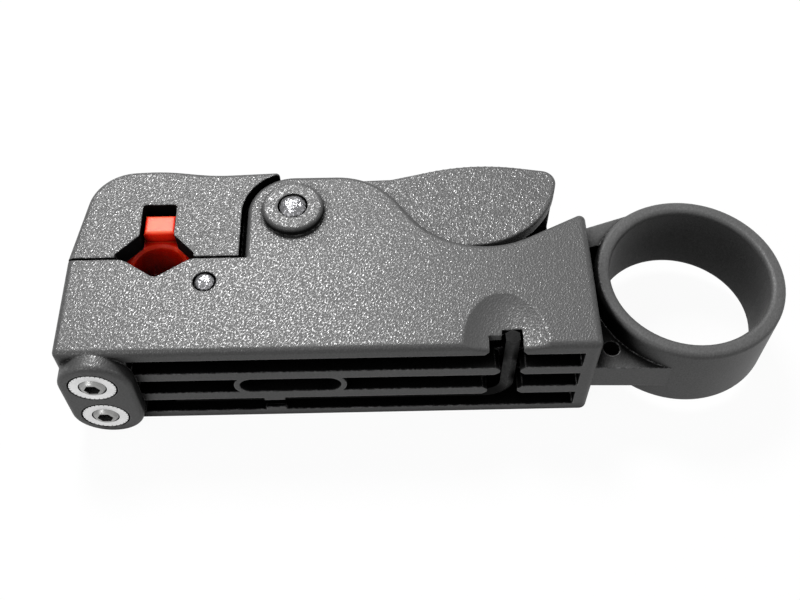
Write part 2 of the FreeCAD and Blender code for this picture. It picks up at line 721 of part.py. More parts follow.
def jaw_features(lever):
    tip = d.pivot_place - 2.35
    sketch = new_sketch(lever, "jaw_profile")
    outline(sketch, [
        (0, jaw_low),
        (tip, jaw_low),
        (tip, jaw_tail, 0.45),
        (d.blade_pin_place, jaw_waist, d.jaw_sweep),
        (d.notch_place - 0.4, d.pivot_height + d.crest_rise, d.jaw_sweep),
        (d.jaw_lean, d.pivot_height + d.front_rise, d.jaw_round),
    ])
    block = pad(lever, "jaw", sketch, d.body_thick)

    def outer_edge(edge):
        side = level(edge, 0) or level(edge, d.body_thick.value)
        return side and edge.BoundBox.Center.y > jaw_low.value + 0.1 and edge.BoundBox.XMin < tip.value - 0.5

    return soften(lever, "jaw_edges", block, outer_edge, d.edge_round)


def cheek_clearance(lever):
    """Room for the two cheeks on either side of the hub."""
    reach = d.nose_radius + d.jaw_gap
    corners = [
        (d.pivot_place - reach, jaw_low - 2),
        (shoulder_place, jaw_low - 2),
        (shoulder_place, d.pivot_height + reach),
        (d.pivot_place - reach, d.pivot_height + reach, reach),
    ]
    for name, top in (("near_clearance", d.body_thick), ("far_clearance", core_low)):
        sketch = new_sketch(lever, name + "_profile", lift=top)
        outline(sketch, corners)
        pocket(lever, name, sketch, core_low)


def trigger_features(lever):
    sketch = new_sketch(lever, "trigger_profile", lift=core_low)
    outline(sketch, trigger_corners)
    shell = pad(lever, "trigger", sketch, core_wide)

    def side_edge(edge):
        low = level(edge, core_low.value)
        high = level(edge, (core_low + core_wide).value)
        return (low or high) and edge.BoundBox.XMin > trigger_start.value - 0.5

    soften(lever, "trigger_edges", shell, side_edge, 0.5)
    inner_low = core_low + d.lever_wall
    inner_wide = core_wide - d.lever_wall * 2
    sketch = new_sketch(lever, "hollow_profile", lift=inner_low + inner_wide)
    hub_front = d.pivot_place - d.coil_radius - d.wire - 0.6
    outline(sketch, [
        (hub_front, jaw_low - 2),
        (trigger_end + 2, jaw_low - 2),
        (trigger_end + 2, trigger_end_height - d.lever_roof),
        (trigger_place, trigger_crown - d.lever_roof, d.trigger_round - d.lever_roof),
        (trigger_start, jaw_tail + 0.15 - d.lever_roof, 2.0),
        (hub_front, jaw_waist - 0.3 - d.lever_roof),
    ])
    pocket(lever, "trigger_hollow", sketch, inner_wide)
    sketch = new_sketch(lever, "middle_rib_profile", lift=mid_z - d.lever_rib / 2)
    outline(sketch, [
        (trigger_start, jaw_tail - d.lever_roof - 3),
        (trigger_end - d.rib_back, d.pivot_height - d.rib_drop, d.rib_round),
        (trigger_end - 1.2, trigger_end_height - 1.2),
        (trigger_start, jaw_tail - 1),
    ])
    pad(lever, "middle_rib", sketch, d.lever_rib)


def grip_ridges(lever):
    """Fine ridges across the trigger crown, spread about the crown's own centre."""
    inset = size(0.6)
    first_turn = 15.5
    sketch = new_sketch(lever, "ridge_profile", lift=core_low + inset)
    turn = FreeCAD.Rotation(Vec(0, 0, 1), first_turn)
    sketch.AttachmentOffset = FreeCAD.Placement(crown.centre, turn)
    circle(sketch, 0, d.trigger_round + d.grip_rise - d.grip_radius, d.grip_radius)
    ridge = pad(lever, "ridge", sketch, core_wide - inset * 2)
    row = lever.newObject("PartDesign::PolarPattern", "ridges")
    row.Originals = [ridge]
    row.Axis = (sketch, ["N_Axis"])
    row.Reversed = True
    row.Angle = 26
    row.Occurrences = 15
    lever.Tip = row


def guide_outline(gap):
    half = d.guide_half + gap
    neck = d.slot_half - 0.2 + gap
    rise = d.guide_half - d.slot_half + 0.2
    low = d.guide_low - gap * 8 if gap.value else d.guide_low
    return [
        (d.notch_place - 0.35 - half, low),
        (d.notch_place - 0.35 + half, low),
        (d.notch_place - 0.35 + half, guide_shoulder + gap),
        (d.notch_place - 0.35 + neck, guide_shoulder + rise + gap),
        (d.notch_place - 0.35 + neck, d.guide_top + gap),
        (d.notch_place - 0.35 - neck, d.guide_top + gap),
        (d.notch_place - 0.35 - neck, guide_shoulder + rise + gap),
        (d.notch_place - 0.35 - half, guide_shoulder + gap),
    ]


def jaw_windows(lever):
    middle = d.notch_place - 0.35
    sketch = new_sketch(lever, "window_profile", lift=d.body_thick)
    outline(sketch, [
        (middle - d.flare_half, jaw_low - 1),
        (middle + d.flare_half, jaw_low - 1),
        (middle + d.flare_half, jaw_low + 0.6),
        (middle + d.slot_half, d.slot_flare, 0.5),
        (middle + d.slot_half, d.slot_top, 0.5),
        (middle - d.slot_half, d.slot_top, 0.5),
        (middle - d.slot_half, d.slot_flare, 0.5),
        (middle - d.flare_half, jaw_low + 0.6),
    ])
    pocket(lever, "windows", sketch, d.body_thick)
    wide = d.guide_wide + d.guide_gap * 2
    sketch = new_sketch(lever, "guide_seat_profile", lift=mid_z + wide / 2)
    outline(sketch, guide_outline(d.guide_gap))
    pocket(lever, "guide_seat", sketch, wide)


def make_lever():
    lever = new_body("lever")
    jaw_features(lever)
    cheek_clearance(lever)
    trigger_features(lever)
    grip_ridges(lever)
    jaw_windows(lever)
    sketch = new_sketch(lever, "lever_bore_profile", lift=d.body_thick)
    circle(sketch, d.pivot_place, d.pivot_height, d.pin_radius + d.run_gap)
    pocket(lever, "lever_bore", sketch, d.body_thick)
    place(lever, size(0), size(0), size(0))
    return lever


def make_guide():
    guide = new_body("cable_guide")
    sketch = new_sketch(guide, "guide_profile", lift=mid_z - d.guide_wide / 2)
    outline(sketch, guide_outline(size(0)))
    pad(guide, "guide_block", sketch, d.guide_wide)
    lug_low = mid_z - d.guide_wide / 2 - d.guide_lug
    middle = d.notch_place - 0.35
    half = d.slot_half - 0.2
    sketch = new_sketch(guide, "lug_profile", lift=lug_low)
    box(sketch, middle - half, d.guide_top - 3.4, middle + half, d.guide_top)
    lugs = pad(guide, "lugs", sketch, d.guide_wide + d.guide_lug * 2)
    lug_high = lug_low + d.guide_wide + d.guide_lug * 2

    def lug_edge(edge):
        return level(edge, lug_low.value) or level(edge, lug_high.value)

    soften(guide, "lug_edges", lugs, lug_edge, d.lug_round)
    sketch = new_sketch(guide, "groove_profile", lift=mid_z + d.guide_wide / 2)
    circle(sketch, middle, d.groove_height, d.groove_radius)
    groove = pocket(guide, "groove", sketch, d.guide_wide)
    bevel(guide, "groove_chamfer", groove,
          lambda edge: round_at(edge, middle, d.groove_height, d.groove_radius), d.groove_edge)
    place(guide, size(0), size(0), size(0))
    return guide


def make_pins():
    mouth = d.body_thick + d.pivot_boss_height
    radius = d.pin_radius
    pivot = turned("pivot_pin", [
        (0, 0.15),
        (radius * 0.6, 0.15),
        (radius, d.recess_depth - 0.1),
        (radius, mouth - d.dome_sink, 0.15),
        (radius * 0.7, mouth - d.dome_sink + d.dome_rise * 0.8, 1.6),
        (0, mouth - d.dome_sink + d.dome_rise),
    ])
    place(pivot, d.pivot_place, d.pivot_height, size(0))
    radius = d.blade_pin_radius
    small = turned("blade_pin", [
        (0, 0.15),
        (radius * 0.6, 0.15),
        (radius, d.recess_depth - 0.1),
        (radius, d.body_thick - d.dome_sink, 0.15),
        (radius * 0.75, d.body_thick - d.dome_sink + d.dome_rise * 0.85, 1.0),
        (0, d.body_thick - d.dome_sink + d.dome_rise),
    ])
    place(small, d.blade_pin_place, d.blade_pin_height, size(0))
    return [pivot, small]


def make_sleeve(label, low, high):
    """A spacer sleeve on the blade pin between two heights."""
    inner = d.blade_pin_radius + d.run_gap
    length = high - low - d.run_gap * 2
    body = turned(label, [
        (inner, 0),
        (d.sleeve_radius, 0),
        (d.sleeve_radius, length),
        (inner, length),
    ])
    place(body, d.blade_pin_place, d.blade_pin_height, low + d.run_gap)
    return body


def make_insert(label, height):
    insert = turned(label, [
        (d.screw_radius, 0),
        (d.insert_radius, 0),
        (d.insert_radius, d.insert_length),
        (d.screw_radius, d.insert_length),
    ])
    sketch = new_sketch(insert, label + "_tooth_profile", lift=d.insert_length)
    far = d.insert_radius + 0.3
    near = d.insert_radius - d.tooth_depth
    outline(sketch, [
        (near, size(0)),
        (far, size(0)),
        (far, d.tooth_depth * 1.4),
    ])
    groove = pocket(insert, label + "_tooth", sketch, d.insert_length)
    ring = insert.newObject("PartDesign::PolarPattern", label + "_teeth")
    ring.Originals = [groove]
    ring.Axis = (sketch, ["N_Axis"])
    ring.Angle = 360
    ring.Occurrences = 30
    insert.Tip = ring
    upright = FreeCAD.Rotation(Vec(1, 0, 0), -90)
    place(insert, d.screw_place, -d.boss_proud, height, upright)
    return insert


def make_screw(label, height):
    """A grub screw with its socket outward and a swivel-tip hole inward."""
    radius = d.screw_radius - d.run_gap
    stem = d.tip_stem + d.run_gap
    top = d.screw_length
    screw = turned(label, [
        (0, 0),
        (radius - 0.5, 0),
        (radius, 0.5),
        (radius, top - 0.5),
        (radius - 0.5, top),
        (stem, top),
        (stem, top - d.tip_stem_length - d.run_gap * 2),
        (0, top - d.tip_stem_length - d.run_gap * 2),
    ])
    socket = screw.newObject("PartDesign::SubtractivePrism", label + "_socket")
    socket.Polygon = 6
    bind(socket, "Circumradius", d.socket_flats / math.sqrt(3))
    bind(socket, "Height", d.socket_depth)
    upright = FreeCAD.Rotation(Vec(1, 0, 0), -90)
    place(screw, d.screw_place, -d.boss_proud - d.screw_proud, height, upright)
    return screw


def make_tip(label, height):
    stem = d.tip_stem_length
    tip = turned(label, [
        (0, 0),
        (d.tip_stem, 0),
        (d.tip_stem, stem + d.run_gap),
        (d.tip_radius, stem + d.run_gap),
        (d.tip_radius, stem + d.tip_thick, 0.3),
        (0, stem + d.tip_thick),
    ])
    upright = FreeCAD.Rotation(Vec(1, 0, 0), -90)
    start = d.screw_length - d.boss_proud - d.screw_proud - d.tip_stem_length
    place(tip, d.screw_place, start, height, upright)
    return tip


def make_arm(label, height):
    """A blade arm from its eye on the blade pin to its foot over the swivel tip."""
    foot = d.screw_length - d.boss_proud - d.screw_proud + d.tip_thick + 0.1
    low = height - arm_half
    front = d.screw_place - d.tip_radius - 0.4
    arm = new_body(label)
    sketch = new_sketch(arm, label + "_profile", lift=low)
    outline(sketch, [
        (front, foot, 0.4),
        (d.screw_place + d.tip_radius + 1, foot, 1.0),
        (arm_rise, cavity_floor + 0.8, 1.0),
        (d.blade_pin_place, cavity_floor + 0.8),
        (d.blade_pin_place, d.arm_top),
        (front, d.arm_top, 0.8),
    ])
    pad(arm, label + "_bar", sketch, arm_thick)
    sketch = new_sketch(arm, label + "_eye_profile", lift=low)
    circle(sketch, d.blade_pin_place, d.blade_pin_height, d.arm_eye)
    pad(arm, label + "_eye", sketch, arm_thick)
    sketch = new_sketch(arm, label + "_bore_profile", lift=low + arm_thick)
    circle(sketch, d.blade_pin_place, d.blade_pin_height, d.blade_pin_radius + d.run_gap)
    for side in (-1, 1):
        circle(sketch, d.notch_place + d.rivet_spread * (side / 2), d.arm_top - d.rivet_inset,
               d.rivet_radius + d.seat_gap)
    pocket(arm, label + "_bores", sketch, arm_thick)
    place(arm, size(0), size(0), size(0))
    return arm


def make_blade(label, height):
    low = height + arm_half + d.seat_gap
    blade = new_body(label)
    sketch = new_sketch(blade, label + "_profile", lift=low)
    box(sketch, d.notch_place - d.blade_half, d.arm_top - d.blade_tuck,
        d.notch_place + d.blade_half, d.blade_edge)
    plate = pad(blade, label + "_plate", sketch, d.blade_thick)

    def cutting(edge):
        frame = edge.BoundBox
        return abs(frame.YMin - d.blade_edge.value) < 0.01 and frame.XLength > d.blade_half.value

    bevel(blade, label + "_bevel", plate, cutting, d.blade_bevel)
    sketch = new_sketch(blade, label + "_bore_profile", lift=low + d.blade_thick)
    for side in (-1, 1):
        circle(sketch, d.notch_place + d.rivet_spread * (side / 2), d.arm_top - d.rivet_inset,
               d.rivet_radius + d.seat_gap)
    pocket(blade, label + "_bores", sketch, d.blade_thick)
    place(blade, size(0), size(0), size(0))
    return blade


def make_rivets(label, height):
    """Two rivets that hold one blade on its arm."""
    low = height - arm_half
    length = arm_thick + d.blade_thick + d.seat_gap * 2
    both = []
    for side, name in ((-1, "front"), (1, "rear")):
        rivet = turned(label + "_" + name, [
            (0, 0),
            (d.rivet_radius, 0),
            (d.rivet_radius, length),
            (d.rivet_head, length),
            (d.rivet_head, length + d.rivet_rise, 0.2),
            (0, length + d.rivet_rise),
        ])
        place(rivet, d.notch_place + d.rivet_spread * (side / 2), d.arm_top - d.rivet_inset, low)
        both.append(rivet)
    pair = doc.addObject("Part::Compound", label)
    pair.Links = both
    return pair


def make_key():
    path = doc.addObject("Sketcher::SketchObject", "key_path")
    start = key_corner + d.key_flats / 2 - d.key_long
    tip = key_z - d.key_flats / 2 + d.key_short
    corner = Corner(key_corner, key_z, d.key_bend)
    first = Corner(start, key_z)
    last = Corner(key_corner, tip)
    corner.round_off(first, last)
    long_arm = path.addGeometry(Part.LineSegment(first.point, corner.start), False)
    bend = path.addGeometry(corner.arc(), False)
    short_arm = path.addGeometry(Part.LineSegment(corner.end, last.point), False)
    path.addConstraint(Sketcher.Constraint("Tangent", long_arm, 2, bend, 1))
    path.addConstraint(Sketcher.Constraint("Tangent", bend, 2, short_arm, 1))
    fix(path, Sketcher.Constraint("Radius", bend, corner.radius.value), corner.radius)
    path.addConstraint(Sketcher.Constraint("Horizontal", long_arm))
    path.addConstraint(Sketcher.Constraint("Vertical", short_arm))
    pin_point(path, long_arm, 1, first.x, first.y)
    pin_point(path, short_arm, 2, last.x, last.y)
    path.Placement = FreeCAD.Placement(Vec(0, 0, 0), FreeCAD.Rotation(Vec(1, 0, 0), 90))
    bind(path, "Placement.Base.y", d.key_depth)
    hexagon = doc.addObject("Part::RegularPolygon", "key_section")
    hexagon.Polygon = 6
    bind(hexagon, "Circumradius", d.key_flats / math.sqrt(3))
    hexagon.Placement = FreeCAD.Placement(Vec(0, 0, 0), FreeCAD.Rotation(Vec(0, 1, 0), 90))
    hexagon.Placement.Rotation = FreeCAD.Rotation(Vec(1, 0, 0), 90).multiply(
        FreeCAD.Rotation(Vec(0, 1, 0), 90))
    bind(hexagon, "Placement.Base.x", start)
    bind(hexagon, "Placement.Base.y", d.key_depth)
    bind(hexagon, "Placement.Base.z", key_z)
    key = doc.addObject("Part::Sweep", "hex_key")
    key.Sections = [hexagon]
    key.Spine = (path, ["Edge1", "Edge2", "Edge3"])
    key.Solid = True
    key.Frenet = True
    place(key, size(0), size(0), size(0))
    return key


def make_spring():
    """A torsion spring: a leg on the cavity floor, the coil, a leg under the trigger roof."""
    low_z = mid_z.value - d.coil_wide.value / 2
    high_z = mid_z.value + d.coil_wide.value / 2
    radius = d.coil_radius.value
    centre = Vec(d.pivot_place.value, d.pivot_height.value, 0)
    low_angle = math.radians(-130)
    high_angle = math.radians(100 - 5 * 360)
    steps = 72
    points = []
    start = centre + Vec(math.cos(low_angle), math.sin(low_angle), 0) * radius
    heading = Vec(-math.sin(low_angle), math.cos(low_angle), 0)
    low_reach = (start.y - cavity_floor.value - d.wire.value * 0.6) / -heading.y
    for share in (1.0, 0.75, 0.5, 0.25):
        points.append(start + heading * (low_reach * share) + Vec(0, 0, low_z))
    for step in range(steps + 1):
        share = step / steps
        angle = low_angle + (high_angle - low_angle) * share
        height = low_z + (high_z - low_z) * share
        points.append(centre + Vec(math.cos(angle), math.sin(angle), 0) * radius + Vec(0, 0, height))
    leave = centre + Vec(math.cos(high_angle), math.sin(high_angle), 0) * radius
    heading = Vec(math.sin(high_angle), -math.cos(high_angle), 0)
    roof = jaw_waist.value - 0.3 - d.lever_roof.value
    high_reach = (roof - d.wire.value * 0.6 - leave.y) / heading.y
    for share in (0.25, 0.5, 0.75, 1.0):
        points.append(leave + heading * (high_reach * share) + Vec(0, 0, high_z))
    curve = Part.BSplineCurve()
    curve.interpolate(points)
    path = Part.Wire([curve.toShape()])
    first = points[0]
    section = Part.Wire([Part.makeCircle(d.wire.value / 2, first, curve.tangent(curve.FirstParameter)[0])])
    spring = doc.addObject("Part::Feature", "torsion_spring")
    spring.Shape = path.makePipeShell([section], True, False)
    place(spring, size(0), size(0), size(0))
    return spring


def make_all():
    pieces = [make_body(), make_lever(), make_guide()]
    pieces += make_pins()
    inner_low = d.cheek
    inner_high = d.body_thick - d.cheek
    pieces.append(make_sleeve("far_sleeve", inner_low, screw_low_z - arm_half))
    pieces.append(make_sleeve("middle_sleeve", screw_low_z + arm_half, screw_high_z - arm_half))
    pieces.append(make_sleeve("near_sleeve", screw_high_z + arm_half, inner_high))
    for side, height in (("far", screw_low_z), ("near", screw_high_z)):
        pieces.append(make_insert(side + "_insert", height))
        pieces.append(make_screw(side + "_depth_screw", height))
        pieces.append(make_tip(side + "_screw_tip", height))
        pieces.append(make_arm(side + "_blade_arm", height))
        pieces.append(make_blade(side + "_blade", height))
        pieces.append(make_rivets(side + "_rivets", height))
    pieces.append(make_key())
    pieces.append(make_spring())
    return pieces


def write_parts(pieces):
    doc.recompute()
    for item in doc.Objects:
        if "Invalid" in item.State or "Error" in item.State:
            raise RuntimeError("%s did not build" % item.Label)
    os.makedirs("parts", exist_ok=True)
    for piece in pieces:
        if piece.Shape.isNull() or not piece.Shape.isValid():
            raise RuntimeError("%s has no valid shape" % piece.Label)
        piece.Shape.exportStep("parts/%s.step" % piece.Label)


write_parts(make_all())
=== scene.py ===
import json
import math

import bpy
from mathutils import Matrix, Vector


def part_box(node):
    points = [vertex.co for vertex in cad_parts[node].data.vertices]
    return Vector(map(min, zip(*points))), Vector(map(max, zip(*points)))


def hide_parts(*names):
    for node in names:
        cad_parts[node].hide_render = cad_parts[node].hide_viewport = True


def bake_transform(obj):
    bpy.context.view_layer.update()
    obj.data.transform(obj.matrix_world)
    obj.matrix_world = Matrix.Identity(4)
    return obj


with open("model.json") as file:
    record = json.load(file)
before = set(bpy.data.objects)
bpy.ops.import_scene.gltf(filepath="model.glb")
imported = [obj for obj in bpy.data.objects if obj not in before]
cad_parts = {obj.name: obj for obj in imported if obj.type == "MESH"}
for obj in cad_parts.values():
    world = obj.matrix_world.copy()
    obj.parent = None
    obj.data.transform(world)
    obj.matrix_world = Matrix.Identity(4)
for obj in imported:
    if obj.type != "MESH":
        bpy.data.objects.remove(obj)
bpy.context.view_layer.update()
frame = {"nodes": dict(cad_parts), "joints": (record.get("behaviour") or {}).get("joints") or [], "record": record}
MM = 0.001


def node(tree, kind, **settings):
    """A shader node with its settings; names that match an input set that input."""
    made = tree.nodes.new("ShaderNode" + kind)
    for name, value in settings.items():
        if hasattr(made, name):
            setattr(made, name, value)
        else:
            made.inputs[name.replace("_", " ")].default_value = value
    return made


def join(tree, source, target):
    tree.links.new(source, target)


def grey(value):
    return (value, value, value)


def ramp(tree, source, stops):
    """A colour ramp; each stop is (place, grey or colour)."""
    made = node(tree, "ValToRGB")
    elements = made.color_ramp.elements
    while len(elements) < len(stops):
        elements.new(0.5)
    for element, (place, colour) in zip(elements, stops):
        if not isinstance(colour, tuple):
            colour = grey(colour)
        element.position = place
        element.color = (*colour, 1.0)
    join(tree, source, made.inputs[0])
    return made.outputs["Color"]


def math_node(tree, operation, first, second=None, clamp=False):
    """A Math node on sockets or plain numbers."""
    made = node(tree, "Math", operation=operation, use_clamp=clamp)
    for socket, value in zip(made.inputs, (first, second)):
        if value is None:
            continue
        if isinstance(value, (int, float)):
            socket.default_value = value
        else:
            join(tree, value, socket)
    return made.outputs[0]


def times(tree, first, second):
    return math_node(tree, "MULTIPLY", first, second)


def mix(tree, share, first, second, blend="MIX"):
    """A colour mix; the share is a socket or a number, the colours are sockets or tuples."""
    made = node(tree, "Mix", data_type="RGBA", blend_type=blend)
    for socket, value in ((made.inputs[0], share), (made.inputs[6], first), (made.inputs[7], second)):
        if isinstance(value, (int, float)):
            socket.default_value = value
        elif isinstance(value, tuple):
            socket.default_value = (*value, 1.0)
        else:
            join(tree, value, socket)
    return made.outputs[2]


def noise(tree, place, scale, detail=2.0, rough=0.5):
    made = node(tree, "TexNoise", Scale=scale, Detail=detail, Roughness=rough)
    join(tree, place, made.inputs["Vector"])
    return made.outputs["Fac"]


def span(tree, value, low, high, first=0.0, last=1.0, smooth=False):
    """Runs from first to last as the value goes from low to high."""
    kind = "SMOOTHSTEP" if smooth else "LINEAR"
    made = node(tree, "MapRange", interpolation_type=kind, From_Min=low, From_Max=high,
                To_Min=first, To_Max=last)
    join(tree, value, made.inputs["Value"])
    return made.outputs[0]


def axis_part(tree, vector, axis):
    made = node(tree, "SeparateXYZ")
    join(tree, vector, made.inputs[0])
    return made.outputs[axis]


def bump(tree, height, strength, distance, after=None):
    made = node(tree, "Bump", Strength=strength, Distance=distance)
    join(tree, height, made.inputs["Height"])
    if after is not None:
        join(tree, after, made.inputs["Normal"])
    return made.outputs["Normal"]


def soft_edges(tree, radius):
    """A normal that rounds the edges by a radius."""
    return node(tree, "Bevel", samples=4, Radius=radius).outputs[0]


def edge_mask(tree, radius):
    """Bright where the surface turns within a radius, for pale edges."""
    dot = node(tree, "VectorMath", operation="DOT_PRODUCT")
    join(tree, soft_edges(tree, radius), dot.inputs[0])
    join(tree, node(tree, "NewGeometry").outputs["Normal"], dot.inputs[1])
    turned = math_node(tree, "SUBTRACT", 1.0, dot.outputs["Value"])
    contrast = 6.0
    return math_node(tree, "MULTIPLY", turned, contrast, clamp=True)


def openness(tree, reach, only_local=False):
    """How much of the surroundings a point sees within a reach."""
    made = node(tree, "AmbientOcclusion", samples=8, only_local=only_local, Distance=reach)
    return made.outputs["AO"]


def hollow_mask(tree, reach, closed=0.35, clear=0.9, only_local=False):
    """0 in hollows and gaps, 1 on open faces."""
    return ramp(tree, openness(tree, reach, only_local), [(closed, 0.0), (clear, 1.0)])


def window_mask(tree, place, shade):
    """A painted shade round the cable guide, 1 elsewhere."""
    low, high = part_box("cable_guide")
    middle = (low + high) / 2
    flat = node(tree, "VectorMath", operation="MULTIPLY")
    flat.inputs[1].default_value = (1.0, 1.0, 0.0)
    join(tree, place, flat.inputs[0])
    away = node(tree, "VectorMath", operation="DISTANCE")
    away.inputs[1].default_value = (middle.x, middle.y, 0.0)
    join(tree, flat.outputs[0], away.inputs[0])
    return span(tree, away.outputs["Value"], 7.5 * MM, 9.0 * MM, first=shade)


def new_material(name, **settings):
    made = bpy.data.materials.new(name)
    made.use_nodes = True
    tree = made.node_tree
    shader = tree.nodes["Principled BSDF"]
    for key, value in settings.items():
        shader.inputs[key.replace("_", " ")].default_value = value
    place = node(tree, "TexCoord").outputs["Object"]
    return made, tree, shader, place


def grained_share(tree, place):
    """1 on the grained side faces, 0 on the walls between them, little on the finger ring."""
    mount = next(m for m in frame["record"]["mounts"] if m["name"] == "finger_ring")
    ring_wall = 2.3
    ring_start = mount["pos_m"][0] - (mount["dims"]["r_mm"] + ring_wall) * MM
    fade = 1.0 * MM
    level = axis_part(tree, node(tree, "TexCoord").outputs["Normal"], "Z")
    side = span(tree, math_node(tree, "ABSOLUTE", level), 0.4, 0.93, smooth=True)
    along = axis_part(tree, place, "X")
    ring = span(tree, along, ring_start - fade, ring_start + fade, first=1.0, last=0.25, smooth=True)
    return times(tree, side, ring)


def moulded_nylon(name, fleck, relief, sheen, spark):
    """Glass-filled nylon: a coarse sparkling grain on the sides, a finer finish elsewhere."""
    made, tree, shader, place = new_material(name)
    grained = grained_share(tree, place)
    streaks = node(tree, "Mapping", vector_type="TEXTURE")
    streaks.inputs["Rotation"].default_value = (0.0, 0.0, math.radians(60))
    streaks.inputs["Scale"].default_value = (1.35, 0.9, 1.0)
    join(tree, place, streaks.inputs["Vector"])
    grain = noise(tree, streaks.outputs[0], 3900.0, 2.5, 0.6)

    # Colour: grain and clouds, painted shade in the hollows and gaps, walls painted lighter than the sides, pale
    # edges for wear and painted glints.
    sides = ramp(tree, grain, [(0.3, 0.02), (0.58, 0.036), (0.78, fleck)])
    # Painted light: the walls get a lighter colour than the grained sides, standing in for the light they get less
    # of.
    walls_painted_lighter = ramp(tree, grain, [(0.3, 0.056), (0.7, 0.087)])
    cloud = ramp(tree, noise(tree, place, 90.0, 3.0), [(0.3, 0.78), (0.7, 1.0)])
    # Painted shade: darker in hollows, gaps and on the walls round the cable guide.
    near = hollow_mask(tree, 6.0 * MM, 0.45, 0.75)
    far = hollow_mask(tree, 25.0 * MM, 0.45, 0.92, only_local=True)
    window = mix(tree, grained, window_mask(tree, place, 0.05), grey(1.0))
    open_share = times(tree, times(tree, near, far), window)
    specks = ramp(tree, noise(tree, place, 1600.0, 3.0), [(0.42, 0.15), (0.66, 1.0)])
    # Pale specks on the edges: partly wear, partly painted glints.
    wear_and_glint = times(tree, edge_mask(tree, 0.35 * MM), specks)
    colour = mix(tree, grained, walls_painted_lighter, sides)
    colour = mix(tree, 0.55, colour, cloud, "MULTIPLY")
    colour = mix(tree, 0.96, colour, open_share, "MULTIPLY")
    colour = mix(tree, wear_and_glint, colour, grey(0.21))
    join(tree, colour, shader.inputs["Base Color"])

    # Gloss: the flecks shine more than the ground between them.
    sparkle = ramp(tree, grain, [(0.45, sheen - spark * 0.3), (0.64, sheen + spark)])
    gloss = mix(tree, grained, grey(0.24), sparkle)
    # The painted shade dims the gloss in the hollows too.
    join(tree, times(tree, open_share, gloss), shader.inputs["Specular IOR Level"])
    shine = ramp(tree, grain, [(0.48, 0.56), (0.64, 0.18)])
    join(tree, mix(tree, grained, grey(0.5), shine), shader.inputs["Roughness"])

    # Relief: grain and round pits, faint on the walls.
    pits = node(tree, "TexVoronoi", feature="F1", Scale=3400.0)
    join(tree, streaks.outputs[0], pits.inputs["Vector"])
    height = math_node(tree, "ADD", grain, times(tree, pits.outputs["Distance"], 0.7))
    scaled = times(tree, height, math_node(tree, "ADD", grained, 0.18))
    normal = bump(tree, scaled, relief, 0.11 * MM, soft_edges(tree, 0.4 * MM))
    join(tree, normal, shader.inputs["Normal"])
    return made


def guide_plastic():
    """Orange-red plastic that lets some light through, with painted shade from deep red to black inside its groove
    and a painted saturated red where half hidden.
    """
    made, tree, shader, place = new_material(
        "guide_orange", Roughness=0.42, Subsurface_Weight=0.8, Subsurface_Scale=0.003)
    shader.inputs["Subsurface Radius"].default_value = (1.0, 0.25, 0.1)
    sight = openness(tree, 12.0 * MM)
    # Painted shade by openness: black deep in the groove, a saturated red where half hidden, orange on open faces.
    painted_shade_colour = ramp(tree, sight, [
        (0.15, (0.01, 0.0, 0.0)),
        (0.32, (0.12, 0.001, 0.0005)),
        (0.38, (1.0, 0.01, 0.001)),
        (0.5, (1.0, 0.012, 0.001)),
        (0.78, (0.82, 0.1, 0.02)),
    ])
    cloud = ramp(tree, noise(tree, place, 260.0, 3.0), [(0.3, 0.85), (0.7, 1.0)])
    edges = times(tree, edge_mask(tree, 0.25 * MM), 0.5)
    colour = mix(tree, 0.4, painted_shade_colour, cloud, "MULTIPLY")
    colour = mix(tree, edges, colour, (0.9, 0.12, 0.03))
    join(tree, colour, shader.inputs["Base Color"])
    # The painted shade dims the gloss in the groove too.
    join(tree, ramp(tree, sight, [(0.3, 0.0), (0.7, 0.3)]), shader.inputs["Specular IOR Level"])
    fine = noise(tree, place, 1800.0, 2.0)
    normal = bump(tree, fine, 0.12, 0.05 * MM, soft_edges(tree, 0.45 * MM))
    join(tree, normal, shader.inputs["Normal"])
    return made


def metal(name, low, high, rough, scale, lift, stretch=(1.0, 1.0, 1.0), strength=0.2, reach=1.5):
    """A metal with fine marks, lift mm deep; stretch draws them out, reach mm sets how far the painted shade in
    its hollows reaches.
    """
    made, tree, shader, place = new_material(name, Metallic=1.0)
    marks = node(tree, "Mapping", vector_type="POINT")
    marks.inputs["Scale"].default_value = stretch
    join(tree, place, marks.inputs["Vector"])
    fine = noise(tree, marks.outputs[0], scale, 3.0, 0.6)
    stain = noise(tree, place, 420.0, 3.0)
    colour = mix(tree, stain, low, high)
    colour = mix(tree, edge_mask(tree, 0.15 * MM), colour, high)
    # Painted shade: darker in hollows and gaps.
    colour = mix(tree, 0.9, colour, hollow_mask(tree, reach * MM), "MULTIPLY")
    join(tree, colour, shader.inputs["Base Color"])
    join(tree, ramp(tree, fine, [(0.3, rough * 0.75), (0.7, rough * 1.3)]), shader.inputs["Roughness"])
    join(tree, bump(tree, fine, strength, lift * MM), shader.inputs["Normal"])
    return made


def sleeve_plastic():
    """Natural acetal, cloudy white."""
    made, tree, shader, place = new_material("sleeve_acetal", Roughness=0.45)
    cloud = noise(tree, place, 500.0, 3.0)
    colour = ramp(tree, cloud, [(0.3, (0.62, 0.6, 0.54)), (0.7, (0.74, 0.72, 0.66))])
    join(tree, colour, shader.inputs["Base Color"])
    join(tree, bump(tree, noise(tree, place, 2500.0), 0.1, 0.04 * MM), shader.inputs["Normal"])
    return made


